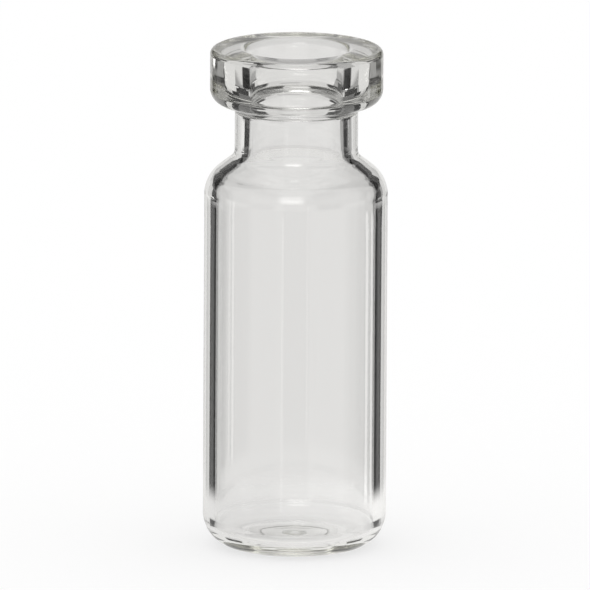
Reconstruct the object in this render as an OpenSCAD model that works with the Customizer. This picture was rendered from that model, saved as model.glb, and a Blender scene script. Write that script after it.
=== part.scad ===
// Clear glass sample vial with a crimp neck. Sizes are in millimetres and degrees.
// The vial stands on its base: the origin is the centre of the foot, and +Z points out of the mouth.
// It is drawn from one piece of tube, so one closed section turned about Z is the whole vial.
// Every corner of that section is placed sharp and then given the radius that the flame leaves on it.

/* [Whole vial] */
// Height from the foot to the top of the mouth
total_h = 32; // [28:0.5:40]

/* [Body] */
// Outside diameter of the straight body
body_od = 11.6; // [11.2:0.1:13]
// Thickness of the body's wall
body_wall = 0.8; // [0.6:0.05:1.2]

/* [Base] */
// Thickness of the base, from the plane of the foot to the floor inside
base_wall = 1; // [0.8:0.05:1.6]
// Outside radius of the heel, between the body and the foot
heel_r = 2.1; // [1:0.1:2.2]
// Inside radius between the wall and the floor
floor_corner_r = 0.7; // [0.5:0.1:2.5]
// Width of the flat ring that the vial stands on
foot_ring_w = 0.6; // [0.3:0.1:1.5]
// Height that the hollow inside that ring rises to at the axis
hollow_h = 0.3; // [0.1:0.05:0.45]

/* [Shoulder] */
// Slope of the shoulder, measured from level
shoulder_slope = 38; // [25:1:50]
// Thickness of the glass across the shoulder
shoulder_wall = 0.85; // [0.6:0.05:1.1]
// Outside radius where the body turns in to the shoulder
shoulder_r = 2.2; // [1.4:0.1:2.8]
// Outside radius where the shoulder turns up into the neck
neck_foot_r = 0.7; // [0.3:0.1:1.2]

/* [Neck] */
// Outside diameter of the neck
neck_od = 7.8; // [7.4:0.1:8.4]
// Height of the neck, from the shoulder's slope to the head's lower edge
neck_h = 3.2; // [2.2:0.1:4.5]
// Diameter of the bore through the neck and the head
bore_d = 5.9; // [5:0.1:6.4]

/* [Crimp head] */
// Outside diameter of the head that the cap is crimped over
head_od = 10.95; // [10.4:0.05:11.2]
// Height of the head, from its lower edge to the mouth
head_h = 3.65; // [3.2:0.05:4.2]
// Rise of the head's underside towards the neck, measured from level
under_slope = 4; // [0:1:20]
// Radius of the head's lower edge
under_edge_r = 1; // [0.3:0.1:1.1]
// Radius between the head's underside and the neck
under_neck_r = 0.6; // [0.2:0.1:0.8]
// Radius of the outer edge of the sealing face
top_edge_r = 0.4; // [0.2:0.05:0.8]
// Radius of the lip, between the sealing face and the bore
lip_r = 0.5; // [0.2:0.05:0.8]

/* [Hidden] */

// Clear glass, with the faint green of its thick parts
glass_colour = [0.86, 0.91, 0.89, 0.4];

// Sides to a full circle: of the whole vial, of its small radii, and of the wide arc under the base
vial_sides = 64;
radius_sides = 36;
hollow_sides = 288;

// Radii of the section's upright lines
body_r = body_od / 2;
cavity_r = body_r - body_wall;
neck_r = neck_od / 2;
bore_r = bore_d / 2;
head_r = head_od / 2;

// Heights that follow from the mouth downwards, so that a taller vial has a longer body
head_bottom_z = total_h - head_h;
neck_foot_z = head_bottom_z - neck_h;

// The inside of a bend keeps the centre of the outside, so the glass stays even through it
shoulder_in_r = max(shoulder_r - shoulder_wall, 0);
neck_foot_in_r = neck_foot_r + shoulder_wall;

// The hollow under the base is a shallow cap of a ball, as wide as the inside of the foot's ring
hollow_r = body_r - heel_r - foot_ring_w;
hollow_ball_r = (pow(hollow_r, 2) + pow(hollow_h, 2)) / (2 * hollow_h);

// Share of an edge that the two radii at its ends may take up together
edge_share = 0.98;

// Height of the shoulder's outer face, carried on straight to radius r
function shoulder_z(r) = neck_foot_z - (r - neck_r) * tan(shoulder_slope);

// Height of the shoulder's inner face at radius r, one wall inside the outer face
function shoulder_in_z(r) = shoulder_z(r) - shoulder_wall / cos(shoulder_slope);

// Height of the head's underside at radius r
function under_z(r) = head_bottom_z + (head_r - r) * tan(under_slope);

// The section's corners as [radius from the axis, height, corner radius].
// They run from the foot up the outside, over the mouth and down the inside to the floor.
corners = [
    [0, 0, 0],
    [body_r, 0, heel_r],
    [body_r, shoulder_z(body_r), shoulder_r],
    [neck_r, neck_foot_z, neck_foot_r],
    [neck_r, under_z(neck_r), under_neck_r],
    [head_r, head_bottom_z, under_edge_r],
    [head_r, total_h, top_edge_r],
    [bore_r, total_h, lip_r],
    [bore_r, shoulder_in_z(bore_r), neck_foot_in_r],
    [cavity_r, shoulder_in_z(cavity_r), shoulder_in_r],
    [cavity_r, base_wall, floor_corner_r],
    [0, base_wall, 0]
];

// Corner i of the closed outline c, counted round in either direction
function at(c, i) = c[(i + len(c)) % len(c)];

// Where corner i lies, and the radius wanted on it
function place(c, i) = [at(c, i)[0], at(c, i)[1]];
function wanted_r(c, i) = at(c, i)[2];

// The way from corner i to corner j, and a way's direction alone
function way(c, i, j) = place(c, j) - place(c, i);
function direction(v) = v / norm(v);

// Angle that the outline turns through at corner i, positive to the left
function turn(c, i) =
    let (a = direction(way(c, i - 1, i)), b = direction(way(c, i, i + 1)))
    atan2(a.x * b.y - a.y * b.x, a * b);

// How far from corner i its full radius would leave the straight edges
function full_setback(c, i) = wanted_r(c, i) * tan(abs(turn(c, i)) / 2);

// How much of the full radii the edge after corner i has room for, up to 1
function edge_room(c, i) =
    let (room = edge_share * norm(way(c, i, i + 1)))
    room / max(full_setback(c, i) + full_setback(c, i + 1), room);

// How far from corner i its radius leaves the straight edges, once both edges have room for it
function setback(c, i) = full_setback(c, i) * min(edge_room(c, i - 1), edge_room(c, i));

// The patch of plane between corner i and the arc that rounds it
module corner_patch(c, i) {
    corner = place(c, i);
    back = direction(way(c, i, i - 1));
    ahead = direction(way(c, i, i + 1));
    reach = setback(c, i);
    radius = reach / tan(abs(turn(c, i)) / 2);
    centre = corner + direction(back + ahead) * norm([radius, reach]);
    difference() {
        polygon([corner, corner + back * reach, centre, corner + ahead * reach]);
        translate(centre) circle(r = radius, $fn = radius_sides);
    }
}

// A closed outline with its corners rounded: left turns lose their patch, and right turns gain theirs
module rounded_outline(c) {
    difference() {
        union() {
            polygon([for (i = [0 : len(c) - 1]) place(c, i)]);
            for (i = [0 : len(c) - 1])
                if (wanted_r(c, i) > 0 && turn(c, i) < 0)
                    corner_patch(c, i);
        }
        for (i = [0 : len(c) - 1])
            if (wanted_r(c, i) > 0 && turn(c, i) > 0)
                corner_patch(c, i);
    }
}

// The section of the glass on one side of the axis
module glass_section() {
    difference() {
        rounded_outline(corners);
        translate([0, hollow_h - hollow_ball_r]) circle(r = hollow_ball_r, $fn = hollow_sides);
    }
}

// The whole vial: body, shoulder, neck and crimp head in one piece of glass
module glass_vial() {
    color(glass_colour)
        rotate_extrude($fn = vial_sides) glass_section();
}

glass_vial();
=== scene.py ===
"""Clear glass sample vial with a crimp neck: the glass, a plain studio round it and the camera."""

import itertools
import logging
import math
from dataclasses import dataclass, field
from enum import Enum

import bpy
from mathutils import Matrix, Vector, noise


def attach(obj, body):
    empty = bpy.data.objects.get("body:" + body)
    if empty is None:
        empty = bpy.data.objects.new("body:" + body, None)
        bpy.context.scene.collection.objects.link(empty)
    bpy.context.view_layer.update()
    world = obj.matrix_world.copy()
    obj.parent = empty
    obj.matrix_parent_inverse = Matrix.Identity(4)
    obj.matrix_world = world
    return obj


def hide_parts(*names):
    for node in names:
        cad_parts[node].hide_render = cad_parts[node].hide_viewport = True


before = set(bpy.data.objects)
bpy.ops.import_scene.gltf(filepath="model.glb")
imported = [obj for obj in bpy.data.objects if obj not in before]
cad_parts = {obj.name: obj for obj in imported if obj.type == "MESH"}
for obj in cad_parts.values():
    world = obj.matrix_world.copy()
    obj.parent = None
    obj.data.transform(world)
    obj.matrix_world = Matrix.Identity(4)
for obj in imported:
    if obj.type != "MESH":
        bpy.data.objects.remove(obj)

log = logging.getLogger("glass_vial")

Colour = tuple[float, float, float, float]
Value = bpy.types.NodeSocket | float

MM = 0.001
VIAL_NODE = "glass_vial"
VIAL_BODY = "root"
WHITE: Colour = (1.0, 1.0, 1.0, 1.0)


# --- The section of the glass ---------------------------------------------------------------------


class Side(Enum):
    """The two sides of the glass."""

    OUTER = "outer"
    INNER = "inner"


@dataclass(frozen=True)
class Corner:
    """One corner of a section, placed sharp, with the radius that rounds it.

    Args:
        reach: Distance from the vial's axis, in metres.
        height: Height above the foot, in metres.
        rounding: Radius of the corner, in metres; 0 leaves it sharp.
    """

    reach: float
    height: float
    rounding: float = 0.0

    @property
    def place(self) -> Vector:
        """The sharp corner as a point of the section's plane."""
        return Vector((self.reach, self.height))


@dataclass(frozen=True)
class SectionPoint:
    """A point of the finished section.

    Args:
        reach: Distance from the vial's axis, in metres.
        height: Height above the foot, in metres.
        side: The side of the glass that it lies on.
    """

    reach: float
    height: float
    side: Side


@dataclass
class VialSection:
    """Sizes of the glass, in metres and degrees, and the outline that they give.

    The corners are placed sharp and then rounded, so that every arc runs smoothly into its
    neighbours. The bore narrows a little to a waist, as it does where a neck is formed.
    """

    # Whole vial
    total_height: float = 32.0 * MM

    # Body and base
    body_width: float = 11.6 * MM
    body_wall: float = 0.8 * MM
    base_wall: float = 1.0 * MM
    heel_radius: float = 2.1 * MM
    floor_corner_radius: float = 0.7 * MM
    foot_ring_width: float = 0.6 * MM
    hollow_height: float = 0.3 * MM

    # Shoulder and neck
    shoulder_slope: float = 38.0
    shoulder_wall: float = 0.85 * MM
    shoulder_radius: float = 2.2 * MM
    neck_foot_radius: float = 0.7 * MM
    neck_width: float = 7.8 * MM
    neck_height: float = 3.2 * MM

    # Bore at its waist, and how much wider it is at its foot and at the mouth
    bore_width: float = 5.84 * MM
    bore_foot_flare: float = 0.1 * MM
    bore_mouth_flare: float = 0.2 * MM
    bore_waist_height: float = 28.4 * MM
    bore_waist_radius: float = 15.0 * MM

    # Crimp head
    head_width: float = 10.95 * MM
    head_height: float = 3.65 * MM
    under_slope: float = 4.0
    under_edge_radius: float = 1.0 * MM
    under_neck_radius: float = 0.6 * MM
    top_edge_radius: float = 0.4 * MM
    lip_radius: float = 0.5 * MM

    # Longest steps that arcs and straights are cut into
    arc_step: float = 4.5
    straight_step: float = 0.6 * MM

    @property
    def body_reach(self) -> float:
        """Outside radius of the body."""
        return self.body_width / 2

    @property
    def head_bottom(self) -> float:
        """Height of the head's lower edge."""
        return self.total_height - self.head_height

    @property
    def neck_foot(self) -> float:
        """Height at which the shoulder's slope would meet the neck."""
        return self.head_bottom - self.neck_height

    def shoulder_height(self, reach: float, depth: float = 0.0) -> float:
        """Height of the shoulder's face at a distance from the axis.

        Args:
            reach: Distance from the axis.
            depth: How far inside the outer face, measured square to it.

        Returns:
            The height of that face, carried on straight.
        """
        slope = math.radians(self.shoulder_slope)
        outer = self.neck_foot - (reach - self.neck_width / 2) * math.tan(slope)
        return outer - depth / math.cos(slope)

    def outer_corners(self) -> list[Corner]:
        """The outside of the glass, from the foot's ring up to the mouth.

        Returns:
            The corners in order.
        """
        neck, head = self.neck_width / 2, self.head_width / 2
        under = (head - neck) * math.tan(math.radians(self.under_slope))
        return [
            Corner(self.body_reach, 0.0, self.heel_radius),
            Corner(self.body_reach, self.shoulder_height(self.body_reach), self.shoulder_radius),
            Corner(neck, self.neck_foot, self.neck_foot_radius),
            Corner(neck, self.head_bottom + under, self.under_neck_radius),
            Corner(head, self.head_bottom, self.under_edge_radius),
            Corner(head, self.total_height, self.top_edge_radius),
        ]

    def inner_corners(self) -> list[Corner]:
        """The lip and the inside of the glass, from the mouth down to the floor.

        A bend's inner and outer arcs share their centre, so that the wall stays even through it.

        Returns:
            The corners in order.
        """
        bore, cavity = self.bore_width / 2, self.body_reach - self.body_wall
        foot, wall = bore + self.bore_foot_flare, self.shoulder_wall
        return [
            Corner(bore + self.bore_mouth_flare, self.total_height, self.lip_radius),
            Corner(bore, self.bore_waist_height, self.bore_waist_radius),
            Corner(foot, self.shoulder_height(foot, wall), self.neck_foot_radius + wall),
            Corner(cavity, self.shoulder_height(cavity, wall), self.shoulder_radius - wall),
            Corner(cavity, self.base_wall, self.floor_corner_radius),
        ]

    def hollow(self) -> list[SectionPoint]:
        """The shallow ball-shaped hollow under the base, from the axis to the foot's ring.

        Returns:
            The points in order.
        """
        reach = self.body_reach - self.heel_radius - self.foot_ring_width
        ball = (reach**2 + self.hollow_height**2) / (2 * self.hollow_height)
        steps = max(2, round(reach / self.straight_step))
        spots = [reach * i / steps for i in range(steps + 1)]
        top = self.hollow_height - ball
        return [SectionPoint(r, top + math.sqrt(ball**2 - r**2), Side.OUTER) for r in spots]

    def outline(self) -> list[SectionPoint]:
        """The whole section, from the axis under the base to the axis on the floor inside.

        Returns:
            The points in order, with arcs and straights cut finely enough to look smooth.
        """
        outer, inner = self.outer_corners(), self.inner_corners()
        foot, floor = Corner(0.0, 0.0), Corner(0.0, self.base_wall)
        corners = [foot, *outer, *inner, floor]
        points = self.hollow()
        for number, (before, corner, after) in enumerate(zip(corners, corners[1:], corners[2:])):
            side = Side.OUTER if number < len(outer) else Side.INNER
            arc = self.rounded(before, corner, after)
            points += self.straight(points[-1], arc[0], side)
            points += [SectionPoint(spot.x, spot.y, side) for spot in arc]
        points += self.straight(points[-1], floor.place, Side.INNER)
        return [*points, SectionPoint(floor.reach, floor.height, Side.INNER)]

    def straight(self, start: SectionPoint, end: Vector, side: Side) -> list[SectionPoint]:
        """The points between the two ends of a straight stretch, without the ends.

        Args:
            start: The end that it leaves.
            end: The end that it comes to.
            side: The side of the glass that it lies on.

        Returns:
            The points in order.
        """
        begin = Vector((start.reach, start.height))
        steps = max(1, round((end - begin).length / self.straight_step))
        spots = [begin.lerp(end, i / steps) for i in range(1, steps)]
        return [SectionPoint(spot.x, spot.y, side) for spot in spots]

    def rounded(self, before: Corner, corner: Corner, after: Corner) -> list[Vector]:
        """The arc that rounds one corner.

        Args:
            before: The corner before it.
            corner: The corner itself.
            after: The corner after it.

        Returns:
            The points of the arc, both ends included.
        """
        back = (before.place - corner.place).normalized()
        ahead = (after.place - corner.place).normalized()
        turn = math.pi - back.angle(ahead)
        setback = corner.rounding * math.tan(turn / 2)
        centre_way = (back + ahead).normalized()
        centre = corner.place + centre_way * math.hypot(corner.rounding, setback)
        spoke = corner.place + back * setback - centre
        swing = math.copysign(turn, back.x * ahead.y - back.y * ahead.x)
        steps = max(2, math.ceil(math.degrees(turn) / self.arc_step))
        swings = [Matrix.Rotation(-swing * i / steps, 2) for i in range(steps + 1)]
        return [centre + swung @ spoke for swung in swings]


# --- The unevenness of the glass ------------------------------------------------------------------


def smooth_step(value: float, low: float, high: float) -> float:
    """A smooth rise from 0 at low to 1 at high."""
    share = min(max((value - low) / (high - low), 0.0), 1.0)
    return share * share * (3.0 - 2.0 * share)


@dataclass(frozen=True)
class FlameZone:
    """A stretch of the glass that was softened in the flame.

    Args:
        lowest: Height of its lower end, in metres.
        highest: Height of its upper end, in metres.
        depth: How deep its ripples are, in metres.
    """

    lowest: float
    highest: float
    depth: float

    def share(self, height: float, edge: float) -> float:
        """How much of the depth the ripples have at a height, fading over an edge at both ends."""
        rising = smooth_step(height, self.lowest - edge, self.lowest + edge)
        return rising * (1.0 - smooth_step(height, self.highest - edge, self.highest + edge))


@dataclass
class GlassRipple:
    """The faint unevenness of the glass, as how far the surface lies in from its true place.

    Args:
        even_depth: How far the whole surface lies in, so that no ripple stands out of the glass.
        draw_depth: Depth of the lines that drawing the tube leaves, in metres.
        draw_width: Distance from one such line to the next, in metres.
        draw_length: Length over which such a line changes, in metres.
        flame_zones: Where the flame softened the glass: heel, shoulder, head's edge and mouth.
        flame_size: Size of one ripple that the flame leaves, in metres.
        flame_edge: Length over which such a zone fades, in metres.
        foot_fade: Height above which the surface has its full ripple, in metres.
        foot_true: Share of that height in which the surface is true, so that the foot is flat.
        inner_shift: Shift in the noise that gives the inner side ripples of its own.
    """

    even_depth: float = 0.0075 * MM
    draw_depth: float = 0.003 * MM
    draw_width: float = 1.5 * MM
    draw_length: float = 12.0 * MM
    flame_zones: tuple[FlameZone, ...] = (
        FlameZone(lowest=0.8 * MM, highest=2.4 * MM, depth=0.015 * MM),
        FlameZone(lowest=21.0 * MM, highest=25.0 * MM, depth=0.012 * MM),
        FlameZone(lowest=28.0 * MM, highest=29.0 * MM, depth=0.006 * MM),
        FlameZone(lowest=31.4 * MM, highest=33.0 * MM, depth=0.006 * MM),
    )
    flame_size: float = 1.6 * MM
    flame_edge: float = 0.4 * MM
    foot_fade: float = 1.5 * MM
    foot_true: float = 0.2
    inner_shift: float = 7.3

    def depth(self, place: Vector, side: Side) -> float:
        """How far a point of the surface lies inside its true place.

        Args:
            place: The true place.
            side: The side of the glass that the point is on.

        Returns:
            The depth in metres, never below 0.
        """
        shift = Vector((0.0, 0.0, self.inner_shift if side is Side.INNER else 0.0))
        lines = self.draw_lines(place, shift)
        ripple = self.flame_ripple(place, shift)
        fade = smooth_step(place.z, self.foot_true * self.foot_fade, self.foot_fade)
        return (self.even_depth + lines + ripple) * fade

    def draw_lines(self, place: Vector, shift: Vector) -> float:
        """Depth of the long upright lines that drawing leaves, from 0 to their full depth.

        Args:
            place: The place on the surface.
            shift: Shift in the noise for the side of the glass.

        Returns:
            The depth in metres.
        """
        across, along = 1.0 / self.draw_width, 1.0 / self.draw_length
        drawn = Vector((place.x * across, place.y * across, place.z * along))
        return self.draw_depth * (0.5 + 0.5 * noise.noise(drawn + shift))

    def flame_ripple(self, place: Vector, shift: Vector) -> float:
        """Depth of the flame's ripples at a place, to both sides of 0."""
        flame = sum(zone.depth * zone.share(place.z, self.flame_edge) for zone in self.flame_zones)
        return 0.5 * flame * noise.noise(place / self.flame_size + shift)


# --- The glass as a finish ------------------------------------------------------------------------


class NodePen:
    """Places and links shader nodes in one node tree."""

    def __init__(self, tree: bpy.types.NodeTree) -> None:
        """Starts on a tree.

        Args:
            tree: The node tree to draw in.
        """
        self.tree = tree

    def add(
        self,
        kind: str,
        links: dict[str | int, Value | Colour] | None = None,
        **settings: object,
    ) -> bpy.types.Node:
        """Adds a node, sets its values and links its inputs.

        Args:
            kind: The node's type, such as "ShaderNodeMath".
            links: Input name or number to a socket to link, or to a plain value.
            **settings: Properties of the node itself, such as operation.

        Returns:
            The new node.
        """
        node = self.tree.nodes.new(kind)
        for name, value in settings.items():
            setattr(node, name, value)
        for key, value in (links or {}).items():
            if isinstance(value, bpy.types.NodeSocket):
                self.tree.links.new(value, node.inputs[key])
            else:
                node.inputs[key].default_value = value
        return node

    def math(self, operation: str, *values: Value, clamp: bool = False) -> bpy.types.NodeSocket:
        """Adds a Math node.

        Args:
            operation: What it does, such as "MULTIPLY".
            *values: Its inputs, as numbers or sockets.
            clamp: Whether its result is kept between 0 and 1.

        Returns:
            Its result.
        """
        node = self.add("ShaderNodeMath", dict(enumerate(values)), operation=operation)
        node.use_clamp = clamp
        return node.outputs[0]

    def rise(self, value: Value, middle: float, width: float) -> bpy.types.NodeSocket:
        """A smooth rise from 0 to 1 as a value passes a middle, over a width."""
        links = {"Value": value, "From Min": middle - width / 2, "From Max": middle + width / 2}
        return self.add("ShaderNodeMapRange", links, interpolation_type="SMOOTHSTEP").outputs[0]

    def fall(self, value: Value, middle: float, width: float) -> bpy.types.NodeSocket:
        """A smooth fall from 1 to 0 as a value passes a middle, over a width."""
        return self.math("SUBTRACT", 1.0, self.rise(value, middle, width))

    def blend(self, share: Value, first: Value, second: Value) -> bpy.types.NodeSocket:
        """A number that goes from the first to the second as the share goes from 0 to 1."""
        links = {0: share, 2: first, 3: second}
        return self.add("ShaderNodeMix", links, data_type="FLOAT").outputs[0]

    def tint(self, share: Value, first: Colour, second: Colour) -> bpy.types.NodeSocket:
        """A colour that goes from the first to the second as the share goes from 0 to 1."""
        links = {0: share, 6: first, 7: second}
        return self.add("ShaderNodeMix", links, data_type="RGBA").outputs[2]

    def seen_by_glass(self) -> bpy.types.NodeSocket:
        """1 for rays that the glass reflected or let through, 0 for all others."""
        path = self.add("ShaderNodeLightPath").outputs
        return self.math("ADD", path["Is Glossy Ray"], path["Is Transmission Ray"], clamp=True)

    def heading(
        self, direction: bpy.types.NodeSocket
    ) -> tuple[bpy.types.NodeSocket, bpy.types.NodeSocket]:
        """Which way a direction points, seen from the vial.

        Args:
            direction: The direction, of length 1.

        Returns:
            Its bearing clockwise from +Y and its elevation, both in degrees.
        """
        parts = self.add("ShaderNodeSeparateXYZ", {0: direction}).outputs
        bearing = self.math("ARCTAN2", parts["X"], parts["Y"])
        elevation = self.math("ARCSINE", parts["Z"])
        return self.math("DEGREES", bearing), self.math("DEGREES", elevation)


def fresh_material(name: str) -> tuple[bpy.types.Material, NodePen]:
    """Makes an empty material.

    Args:
        name: The material's name.

    Returns:
        The material, and the pen that draws in it.
    """
    material = bpy.data.materials.new(name)
    material.use_nodes = True
    material.node_tree.nodes.clear()
    return material, NodePen(material.node_tree)


@dataclass(frozen=True)
class ClearGlass:
    """Clear borosilicate glass, drawn into tube and fire polished.

    Args:
        name: The material's name.
        colour: Colour of the surface.
        refraction: Index of refraction.
        depth_colour: Colour that light takes on in thick glass.
        depth_density: How fast it takes that on.
    """

    name: str = "clear_glass"
    colour: Colour = WHITE
    refraction: float = 1.5
    depth_colour: Colour = (0.62, 0.62, 0.42, 1.0)
    depth_density: float = 12.0

    def make(self) -> bpy.types.Material:
        """Builds the material.

        Returns:
            The material: a clear surface round glass that tints light a little on its way.
        """
        material, pen = fresh_material(self.name)
        skin = {
            "Base Color": self.colour,
            "Metallic": 0.0,
            "Roughness": 0.0,
            "IOR": self.refraction,
            "Transmission Weight": 1.0,
        }
        inside = {"Color": self.depth_colour, "Density": self.depth_density}
        surface = pen.add("ShaderNodeBsdfPrincipled", skin).outputs[0]
        volume = pen.add("ShaderNodeVolumeAbsorption", inside).outputs[0]
        pen.add("ShaderNodeOutputMaterial", {"Surface": surface, "Volume": volume})
        return material


# --- The vial -------------------------------------------------------------------------------------


@dataclass
class GlassVial:
    """The vial itself: one section turned about the axis, in one piece of glass.

    Args:
        section: The section that is turned.
        ripple: The unevenness of its surface.
        finish: What it is made of.
        sides: How many flats a full turn is cut into.
    """

    section: VialSection = field(default_factory=VialSection)
    ripple: GlassRipple = field(default_factory=GlassRipple)
    finish: ClearGlass = field(default_factory=ClearGlass)
    sides: int = 256

    def points(self, outline: list[SectionPoint]) -> list[Vector]:
        """The mesh's points: a ring for each point of the section, then the two on the axis.

        Args:
            outline: The section, from the axis under the base to the axis on the floor.

        Returns:
            The points, ring by ring.
        """
        turns = [math.tau * k / self.sides for k in range(self.sides)]
        points = []
        for before, ring, after in zip(outline, outline[1:], outline[2:]):
            along = Vector((after.reach - before.reach, after.height - before.height)).normalized()
            for turn in turns:
                way = Vector((math.cos(turn), math.sin(turn), 0.0))
                place = way * ring.reach + Vector((0.0, 0.0, ring.height))
                inwards = way * -along.y + Vector((0.0, 0.0, along.x))
                points.append(place + inwards * self.ripple.depth(place, ring.side))
        return points + [Vector((0.0, 0.0, end.height)) for end in (outline[0], outline[-1])]

    def faces(self, rings: int) -> list[tuple[int, ...]]:
        """The mesh's faces: a band from each ring to the next, and a fan at both ends.

        Args:
            rings: How many rings the mesh has.

        Returns:
            The faces, as numbers of points.
        """
        sides = self.sides
        last = (rings - 1) * sides
        bottom, top = rings * sides, rings * sides + 1
        pairs = [(k, (k + 1) % sides) for k in range(sides)]
        bands = [
            (low + here, low + there, low + sides + there, low + sides + here)
            for low in range(0, last, sides)
            for here, there in pairs
        ]
        under = [(there, here, bottom) for here, there in pairs]
        floor = [(last + here, last + there, top) for here, there in pairs]
        return bands + under + floor

    def build(self) -> bpy.types.Object:
        """Turns the section into a closed mesh.

        Returns:
            The object, in the frame's own place and linked to the scene.
        """
        outline = self.section.outline()
        mesh = bpy.data.meshes.new("vial_glass")
        mesh.from_pydata(self.points(outline), [], self.faces(len(outline) - 2))
        mesh.validate()
        for polygon in mesh.polygons:
            polygon.use_smooth = True
        vial = bpy.data.objects.new("vial_glass", mesh)
        bpy.context.scene.collection.objects.link(vial)
        return vial

    def dress(self, vial: bpy.types.Object) -> None:
        """Gives the glass its finish."""
        vial.data.materials.append(self.finish.make())

    def place(self) -> bpy.types.Object:
        """Builds and dresses the vial, and sets it in the frame.

        Returns:
            The vial.
        """
        vial = self.build()
        self.dress(vial)
        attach(vial, VIAL_BODY)
        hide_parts(VIAL_NODE)
        return vial


# --- The studio -----------------------------------------------------------------------------------


# Elevations, in degrees, where one row of cards ends and the next begins
GROUND_TOP = -20.5
SCREEN_FOOT = -7.9
REAR_FOOT = -7.0
SCREEN_TOP = 4.0
WING_TOP = 22.0

# Card sizes, in degrees, that reach all the way round, and past straight down and straight up
ALL_ROUND = 180.0
NADIR = -91.0
ZENITH = 91.0


class Paper(Enum):
    """What a card is, as how bright the glass sees it, where 1 is the white of the backdrop."""

    BLACK = 0.01
    CHARCOAL = 0.03
    SLATE = 0.15
    GREY = 0.43
    PALE = 0.7
    WHITE = 0.78
    LIT = 0.9
    STRIP_LIGHT = 2.1
    SOFT_LIGHT = 3.6


@dataclass(frozen=True)
class Card:
    """A card or a light panel far from the vial, seen only by the glass.

    Args:
        paper: What it is.
        bearing: Its middle, in degrees clockwise from +Y as seen from above.
        half_width: Half its width at level, in degrees.
        lowest: Elevation of its lower edge, in degrees.
        highest: Elevation of its upper edge, in degrees.
        softness: Width of its soft edges, in degrees.
        taper: How much narrower half of it gets for each degree upwards.
    """

    paper: Paper
    bearing: float
    half_width: float
    lowest: float
    highest: float
    softness: float = 2.0
    taper: float = 0.0

    def over(
        self,
        pen: NodePen,
        level: Value,
        bearing: bpy.types.NodeSocket,
        elevation: bpy.types.NodeSocket,
    ) -> bpy.types.NodeSocket:
        """Lays the card over what is already there.

        Args:
            pen: Draws in the world's node tree.
            level: The brightness so far.
            bearing: The direction's bearing, in degrees.
            elevation: The direction's elevation, in degrees.

        Returns:
            The brightness with the card in it.
        """
        away = pen.math("WRAP", pen.math("SUBTRACT", bearing, self.bearing), ALL_ROUND, -ALL_ROUND)
        side = pen.math("ABSOLUTE", away)
        if self.taper:
            side = pen.math("MULTIPLY_ADD", elevation, self.taper, side)
        across = pen.fall(side, self.half_width, self.softness)
        above = pen.rise(elevation, self.lowest, self.softness)
        below = pen.fall(elevation, self.highest, self.softness)
        mask = pen.math("MULTIPLY", across, pen.math("MULTIPLY", above, below))
        return pen.blend(mask, level, self.paper.value)


def both_sides(
    paper: Paper, bearing: float, half_width: float, lowest: float, highest: float, softness: float
) -> tuple[Card, Card]:
    """The same card on the left and on the right, with the values that a card has."""
    sizes = half_width, lowest, highest, softness
    return Card(paper, -bearing, *sizes), Card(paper, bearing, *sizes)


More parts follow.
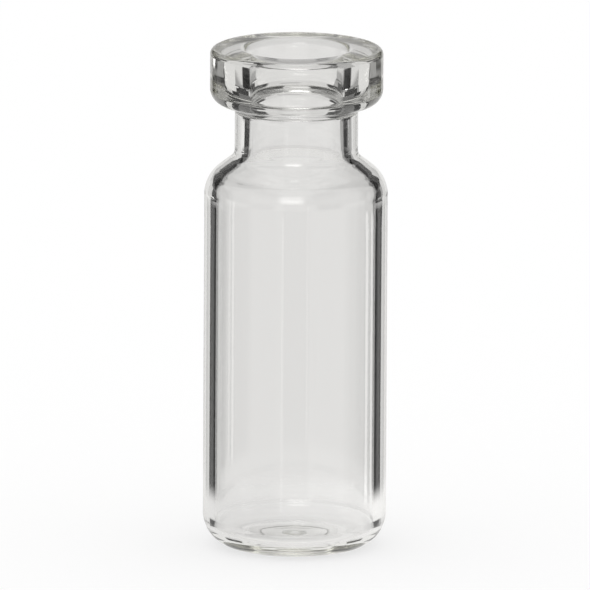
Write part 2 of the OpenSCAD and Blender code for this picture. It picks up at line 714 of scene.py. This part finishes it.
@dataclass
class Studio:
    """A plain pale studio: a white floor, soft light all round and cards for the glass to show.

    Args:
        floor_reach: Half the floor's width, in metres.
        near_floor: How far from the vial the glass still sees the floor, in metres.
        near_floor_edge: Length over which that fades, in metres.
        near_floor_level: How bright the glass sees the floor at the vial.
        near_floor_painted_light_lean: Painted light: how much brighter that gets for each metre to
            the right, as if lit from the right.
        glass_floor_share: Share of the light falling on the floor that the glass sees added to it.
        shadow_share: Share of the floor's white that comes from the light falling on it.
        room_level: How bright the glass sees the paper that lines the room behind the cards.
        paper_colour: Tint of all paper and of the floor, as the glass sees them.
        behind: Cards behind the camera and beside the vial, at its own height.
        ground: What the base and the head look down on, beyond the near floor.
        strips: Narrow strips beside the backdrop, which line the walls, the head and the neck.
        screens: Dark screens beside the backdrop, level and above, which line the shoulder.
        backdrop: The backdrop, and what stands in it and over it.
        lights: Lights, and the dark between them overhead.
    """

    floor_reach: float = 3.0
    near_floor: float = 19.0 * MM
    near_floor_edge: float = 6.0 * MM
    near_floor_level: float = 0.75
    # Painted light: the near floor's glow grows brighter to the right, as if a lamp lit it from
    # that side.
    near_floor_painted_light_lean: float = 6.5
    glass_floor_share: float = 0.1
    shadow_share: float = 0.3
    room_level: float = 0.35
    paper_colour: Colour = (1.0, 0.992, 0.978, 1.0)
    behind: tuple[Card, ...] = (
        Card(Paper.PALE, 180, 27, SCREEN_FOOT, 12, softness=4.0),
        *both_sides(Paper.PALE, 95, 22, SCREEN_FOOT, SCREEN_TOP, softness=4.0),
        *both_sides(Paper.CHARCOAL, 135, 16, REAR_FOOT, 12, softness=3.0),
        Card(Paper.GREY, 180, 24, GROUND_TOP, REAR_FOOT, softness=4.0),
        Card(Paper.WHITE, 135, 27, GROUND_TOP, REAR_FOOT, softness=4.0),
        Card(Paper.WHITE, -122, 34, GROUND_TOP, -13.2, softness=1.0),
    )
    ground: tuple[Card, ...] = (
        Card(Paper.GREY, 0, ALL_ROUND, NADIR, GROUND_TOP, softness=1.0),
        Card(Paper.PALE, -45, 28, -34, GROUND_TOP, softness=3.0),
        Card(Paper.CHARCOAL, -84, 9, -32, GROUND_TOP, softness=3.0),
        Card(Paper.PALE, 0, 40, -58, -20, softness=3.0),
        Card(Paper.PALE, 0, 53, GROUND_TOP, -17, softness=1.0),
        *both_sides(Paper.CHARCOAL, 105, 22, -46, -30, softness=5.0),
    )
    strips: tuple[Card, ...] = (
        *both_sides(Paper.BLACK, 70, 15, GROUND_TOP, -13, softness=1.0),
        *both_sides(Paper.BLACK, 33, 13.5, -12.7, -11.3, softness=0.6),
        *both_sides(Paper.CHARCOAL, 65, 7, -13.5, -11.3, softness=1.0),
        Card(Paper.LIT, -33, 10, -10.4, SCREEN_FOOT, softness=0.8),
        *both_sides(Paper.BLACK, 53, 12, -10.6, SCREEN_FOOT, softness=0.5),
    )
    screens: tuple[Card, ...] = (
        *both_sides(Paper.CHARCOAL, 52, 20, SCREEN_FOOT, SCREEN_TOP, softness=0.8),
        Card(Paper.PALE, -29, 4.5, SCREEN_FOOT, 3, softness=0.8),
        *both_sides(Paper.SLATE, 59, 24, SCREEN_TOP, WING_TOP, softness=3.0),
        *both_sides(Paper.BLACK, 28, 13, SCREEN_TOP, 23, softness=3.0),
        Card(Paper.CHARCOAL, 62, 24, WING_TOP, 45, softness=3.0),
    )
    backdrop: tuple[Card, ...] = (
        Card(Paper.WHITE, -0.75, 25, -20, 5, taper=0.22),
        Card(Paper.SLATE, 0, 56, 40, 58, softness=4.0),
        Card(Paper.PALE, 1, 15, 3, 42),
        Card(Paper.GREY, -2.5, 4, 10.5, 15.5),
    )
    lights: tuple[Card, ...] = (
        Card(Paper.STRIP_LIGHT, 67, 3, -13.3, -11.5, softness=1.0),
        Card(Paper.STRIP_LIGHT, -163, 0.45, -13.2, -11, softness=0.6),
        Card(Paper.SOFT_LIGHT, -174, 16, 20, 40, softness=14.0),
        Card(Paper.PALE, 180, 28, 44, 64, softness=6.0),
        *both_sides(Paper.CHARCOAL, 118, 34, 38, 66, softness=4.0),
        Card(Paper.PALE, 0, ALL_ROUND, 66, ZENITH, softness=6.0),
    )

    def light(self) -> None:
        """Lights the scene evenly from all round, and hangs the cards for the glass to show.

        The backdrop is plain white, of strength 1, to the camera and for the light that it gives.
        To glossy and transmission rays grey paper lines it and the cards hang before that, because
        clear glass shows nothing but its surroundings.
        """
        world = bpy.data.worlds.new("studio")
        bpy.context.scene.world = world
        world.use_nodes = True
        world.cycles.sampling_method = "NONE"
        world.node_tree.nodes.clear()
        pen = NodePen(world.node_tree)
        heading = pen.heading(pen.add("ShaderNodeTexCoord").outputs["Generated"])
        hung = (self.behind, self.ground, self.strips, self.screens, self.backdrop, self.lights)
        level = self.room_level
        for card in itertools.chain(*hung):
            level = card.over(pen, level, *heading)
        glass = pen.seen_by_glass()
        links = {
            "Color": pen.tint(glass, WHITE, self.paper_colour),
            "Strength": pen.blend(glass, 1.0, level),
        }
        sky = pen.add("ShaderNodeBackground", links)
        pen.add("ShaderNodeOutputWorld", {"Surface": sky.outputs[0]})

    def lay_floor(self) -> bpy.types.Object:
        """Lays a white floor that keeps the vial's shadow.

        Returns:
            The floor.
        """
        reach = self.floor_reach
        mesh = bpy.data.meshes.new("floor")
        corners = [(-reach, -reach, 0), (reach, -reach, 0), (reach, reach, 0), (-reach, reach, 0)]
        mesh.from_pydata(corners, [], [(0, 1, 2, 3)])
        floor = bpy.data.objects.new("floor", mesh)
        bpy.context.scene.collection.objects.link(floor)
        mesh.materials.append(self.floor_paint())
        return floor

    def floor_paint(self) -> bpy.types.Material:
        """White paint that keeps a faint shadow; the glass sees it only near the vial.

        Part of the floor's white is paint, which takes the shadow, and the rest is its own glow, so
        that both together are as white as the backdrop. Near the vial the glass sees a glow of its
        own, with painted light that makes it brighter to the right.

        Returns:
            The material.
        """
        material, pen = fresh_material("floor_white")
        glass = pen.seen_by_glass()
        camera = pen.add("ShaderNodeLightPath").outputs["Is Camera Ray"]
        place = pen.add("ShaderNodeNewGeometry").outputs["Position"]
        across = pen.add("ShaderNodeSeparateXYZ", {0: place}).outputs["X"]
        reach = pen.add("ShaderNodeVectorMath", {0: place}, operation="LENGTH").outputs["Value"]

        white = pen.blend(glass, self.shadow_share, self.glass_floor_share)
        paint = pen.add("ShaderNodeBsdfDiffuse", {"Color": white})

        # Painted light: the glow that the glass sees near the vial grows brighter to the right, as
        # if lit from the right.
        near = pen.math("MULTIPLY_ADD", across, self.near_floor_painted_light_lean, self.near_floor_level)
        own = pen.math("MULTIPLY", camera, 1.0 - self.shadow_share)
        links = {
            "Color": pen.tint(glass, WHITE, self.paper_colour),
            "Strength": pen.math("MULTIPLY_ADD", glass, near, own),
        }
        glow = pen.add("ShaderNodeEmission", links)
        painted = pen.add("ShaderNodeAddShader", {0: paint.outputs[0], 1: glow.outputs[0]})

        far = pen.rise(reach, self.near_floor, self.near_floor_edge)
        clear = pen.add("ShaderNodeBsdfTransparent")
        unseen = pen.math("MULTIPLY", far, glass)
        links = {0: unseen, 1: painted.outputs[0], 2: clear.outputs[0]}
        surface = pen.add("ShaderNodeMixShader", links).outputs[0]
        pen.add("ShaderNodeOutputMaterial", {"Surface": surface})
        return material


# --- The camera -----------------------------------------------------------------------------------


@dataclass
class Camera:
    """The camera: far off with a long lens, a little above the vial.

    Args:
        elevation: Angle above level that it looks down from, in degrees.
        lean: Roll of the camera, in degrees, by which the vial's top leans right.
        distance: How far it stands from its aim, in metres.
        frame_width: Width of what it sees at the aim, in metres.
        aim_height: Height of its aim on the vial's axis, in metres.
        aim_side: How far the aim lies to the right of the axis, in metres.
        sensor: Width of the camera's sensor, in millimetres.
        nearest: Distance within which it sees nothing, in metres.
        farthest: Distance beyond which it sees nothing, in metres.
    """

    elevation: float = 12.0
    lean: float = 0.32
    distance: float = 1.5
    frame_width: float = 37.271 * MM
    aim_height: float = 16.07 * MM
    aim_side: float = -0.03 * MM
    sensor: float = 36.0
    nearest: float = 0.1
    farthest: float = 10.0

    def place(self) -> bpy.types.Object:
        """Makes the scene's camera.

        Returns:
            The camera.
        """
        data = bpy.data.cameras.new("camera")
        data.sensor_width = self.sensor
        data.lens = self.sensor * self.distance / self.frame_width
        data.clip_start, data.clip_end = self.nearest, self.farthest
        camera = bpy.data.objects.new("camera", data)
        bpy.context.scene.collection.objects.link(camera)
        tilt = math.radians(self.elevation)
        aim = Vector((self.aim_side, 0.0, self.aim_height))
        back = Vector((0.0, -math.cos(tilt), math.sin(tilt)))
        roll = Matrix.Rotation(math.radians(self.lean), 3, "Z").to_quaternion()
        camera.location = aim + back * self.distance
        camera.rotation_mode = "QUATERNION"
        camera.rotation_quaternion = (-back).to_track_quat("-Z", "Y") @ roll
        bpy.context.scene.camera = camera
        return camera


# --- The whole scene ------------------------------------------------------------------------------


def allow_glass_paths(scene: bpy.types.Scene, bounces: int = 32) -> None:
    """Lets light be reflected inside the thick glass as often as it needs.

    Args:
        scene: The scene to set.
        bounces: How often light may be reflected or go through a surface.
    """
    scene.cycles.max_bounces = bounces
    scene.cycles.glossy_bounces = bounces
    scene.cycles.transmission_bounces = bounces


def main() -> None:
    """Builds the vial and its studio around the frame."""
    logging.basicConfig(level=logging.INFO, format="%(name)s: %(message)s")
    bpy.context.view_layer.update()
    scene = bpy.context.scene
    scene.view_settings.view_transform = "Standard"
    allow_glass_paths(scene)
    vial = GlassVial().place()
    log.info("%s: %d faces, %d points", vial.name, len(vial.data.polygons), len(vial.data.vertices))
    studio = Studio()
    studio.light()
    floor = studio.lay_floor()
    log.info("%s laid", floor.name)
    camera = Camera().place()
    log.info("camera lens %.0f mm", camera.data.lens)


if __name__ == "__main__":
    main()
